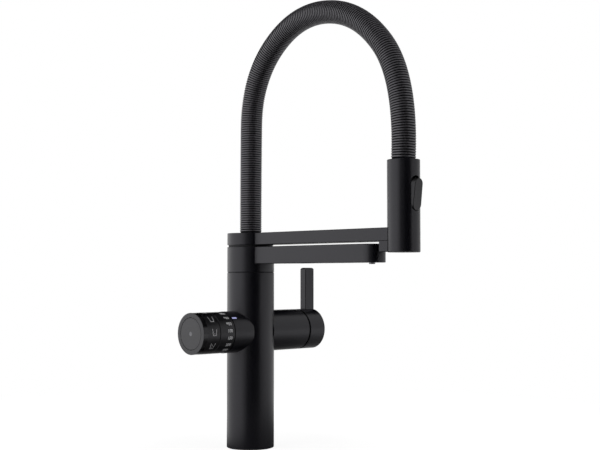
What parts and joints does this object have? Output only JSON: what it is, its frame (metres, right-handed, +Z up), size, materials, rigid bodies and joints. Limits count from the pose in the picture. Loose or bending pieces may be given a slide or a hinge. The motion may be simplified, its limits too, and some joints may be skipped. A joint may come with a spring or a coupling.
{
  "type": "kitchen tap",
  "caption": "Kitchen tap for mixed, filtered and sparkling water, with a docked hose spray, a swivelling spout, a side dial and a side mixer lever.",
  "frame": {"origin": "centre of the column's foot, where it rests on the deck", "axes": "+Z up along the column, -Y along both arms towards the user, -X along the dial, +X along the mixer"},
  "size_m": [0.1728, 0.2572, 0.5189],
  "materials": {
    "matt_black_metal": "matt black powder coat",
    "black_plastic": "satin black",
    "ribbed_hose_black": "matt black ribbed cover",
    "black_rubber": "matt",
    "brass": "machined",
    "steel": "machined",
    "ceramic": "ground ceramic",
    "circuit_board": "satin",
    "light_window": "clear diffusing window"
  },
  "bodies": {
    "column": {"column_tube": "matt_black_metal", "foot_plate": "brass", "base_gasket": "black_rubber", "threaded_shank": "brass", "column_screws": "steel", "inlet_block": "brass", "supply_risers": "steel", "valve_manifold": "brass", "spout_risers": "steel", "swivel_spindle": "brass", "spindle_seals": "black_rubber", "spindle_circlip": "steel", "lower_glide_washer": "black_plastic", "hub_spacer_ring": "black_plastic", "dial_sleeve": "matt_black_metal", "led_window": "light_window", "dial_screws": "steel", "dial_spindle": "steel", "dial_keeper": "black_plastic", "keeper_screws": "steel", "dial_washers": "black_plastic", "sensor_board": "circuit_board", "mixer_body": "matt_black_metal", "mixer_screws": "steel", "mixer_seals": "black_rubber", "cartridge_base": "black_plastic", "fixed_ceramic_disc": "ceramic", "cartridge_housing": "black_plastic", "cartridge_nut": "brass", "cap_glide_ring": "black_plastic", "button_return_ring": "black_rubber"},
    "spout_arm": {"lower_arm": "matt_black_metal", "spout_tube": "steel", "nozzle_block": "black_plastic", "spout_aerator": "black_plastic"},
    "docking_arm": {"upper_arm": "matt_black_metal", "dock_block": "matt_black_metal", "dock_magnet": "steel", "dock_screws": "steel", "hose_socket": "matt_black_metal", "hose_cover": "ribbed_hose_black", "inner_hose": "black_rubber"},
    "spray_head": {"hose_nipple": "matt_black_metal", "head_shell": "matt_black_metal", "head_core": "black_plastic", "spray_face": "black_plastic", "spray_nozzles": "black_rubber", "rocker_pin": "steel"},
    "rocker": {"rocker_button": "black_plastic"},
    "diverter": {"diverter_spool": "black_plastic"},
    "select_ring": {"select_ring": "matt_black_metal"},
    "portion_ring": {"portion_ring": "matt_black_metal"},
    "touch_button": {"touch_button": "matt_black_metal", "button_light": "light_window", "button_clip": "steel"},
    "mixer_lever": {"lever_cap": "matt_black_metal", "lever_bar": "matt_black_metal", "lever_grub_screw": "steel", "cartridge_stem": "steel", "moving_ceramic_disc": "ceramic"}
  },
  "joints": [
    {"name": "spout_arm_swivel", "type": "hinge", "parent": "column", "child": "spout_arm", "pos_m": [0, 0, 0.2025], "axis": [0, 0, 1], "range_deg": [-135, 135]},
    {"name": "docking_arm_swivel", "type": "hinge", "parent": "column", "child": "docking_arm", "pos_m": [0, 0, 0.2195], "axis": [0, 0, 1], "range_deg": [-135, 135]},
    {"name": "head_pull", "type": "slide", "parent": "docking_arm", "child": "spray_head", "axis": [0, -1, 0], "range_m": [0, 0.04], "deforming": ["hose_cover", "inner_hose"]},
    {"name": "rocker_tilt", "type": "hinge", "parent": "spray_head", "child": "rocker", "pos_m": [0, -0.2225, 0.2562], "axis": [-1, 0, 0], "range_deg": [0, 10]},
    {"name": "diverter_slide", "type": "slide", "parent": "spray_head", "child": "diverter", "axis": [0, 0, -1], "range_m": [0, 0.0013]},
    {"name": "select_ring_turn", "type": "hinge", "parent": "column", "child": "select_ring", "pos_m": [-0.07, 0, 0.1221], "axis": [-1, 0, 0], "continuous": true},
    {"name": "portion_ring_turn", "type": "hinge", "parent": "column", "child": "portion_ring", "pos_m": [-0.05, 0, 0.1221], "axis": [-1, 0, 0], "continuous": true},
    {"name": "touch_button_press", "type": "slide", "parent": "column", "child": "touch_button", "axis": [1, 0, 0], "range_m": [0, 0.001], "stiffness_N_per_m": 600, "springref_m": -0.002, "deforming": ["button_return_ring"]},
    {"name": "mixer_lever_turn", "type": "hinge", "parent": "column", "child": "mixer_lever", "pos_m": [0.08, 0, 0.1221], "axis": [1, 0, 0], "range_deg": [0, 100]}
  ],
  "couplings": [
    {"joint": "diverter_slide", "follows": "rocker_tilt", "m_per_rad": 0.0066}
  ]
}
